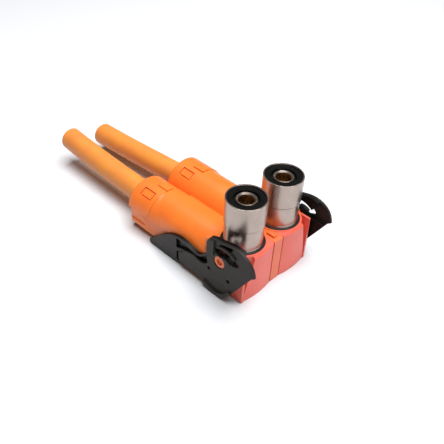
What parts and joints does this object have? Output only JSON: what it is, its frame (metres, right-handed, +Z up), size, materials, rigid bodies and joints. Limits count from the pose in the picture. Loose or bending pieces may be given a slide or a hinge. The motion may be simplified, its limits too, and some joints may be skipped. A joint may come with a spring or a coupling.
{
  "type": "high voltage connector",
  "caption": "Right-angle high voltage plug: upright shielded sockets in an orange body, black assist lever, shielded cables out of the back.",
  "frame": {"origin": "on the flat underside of the body, midway between the two contact axes", "axes": "+X from the left contact to the right one, +Y towards the cables, +Z up the mating direction"},
  "size_m": [0.0664, 0.184, 0.0577],
  "materials": {
    "housing": "moulded orange nylon, fine satin",
    "lever": "moulded black glass-filled nylon, satin",
    "seal": "black silicone rubber",
    "shield": "tin-plated, satin, turned",
    "insulator": "moulded black plastic",
    "contact": "silver-plated copper alloy, turned",
    "spring": "copper-coloured spring alloy",
    "core": "orange insulation",
    "strands": "bare copper strands",
    "jacket": "orange extruded jacket, semi-matte"
  },
  "bodies": {
    "plug": {"housing": "housing", "back_cap_left": "housing", "back_cap_right": "housing", "cable_seal_left": "seal", "cable_seal_right": "seal", "base_seal_left": "seal", "base_seal_right": "seal", "shield_tube_left": "shield", "shield_tube_right": "shield", "shield_sleeve_left": "shield", "shield_sleeve_right": "shield", "insulator_left": "insulator", "insulator_right": "insulator", "contact_left": "contact", "contact_right": "contact", "contact_spring_left": "spring", "contact_spring_right": "spring", "braid_ferrule_left": "shield", "braid_ferrule_right": "shield", "core_left": "core", "core_right": "core", "conductor_left": "strands", "conductor_right": "strands", "cable_left": "jacket", "cable_right": "jacket"},
    "lever": {"lever": "lever"}
  },
  "joints": [
    {"name": "lever_pivot", "type": "hinge", "parent": "plug", "child": "lever", "pos_m": [0, 0, 0.0243], "axis": [-1, 0, 0], "range_deg": [0, 76]}
  ]
}
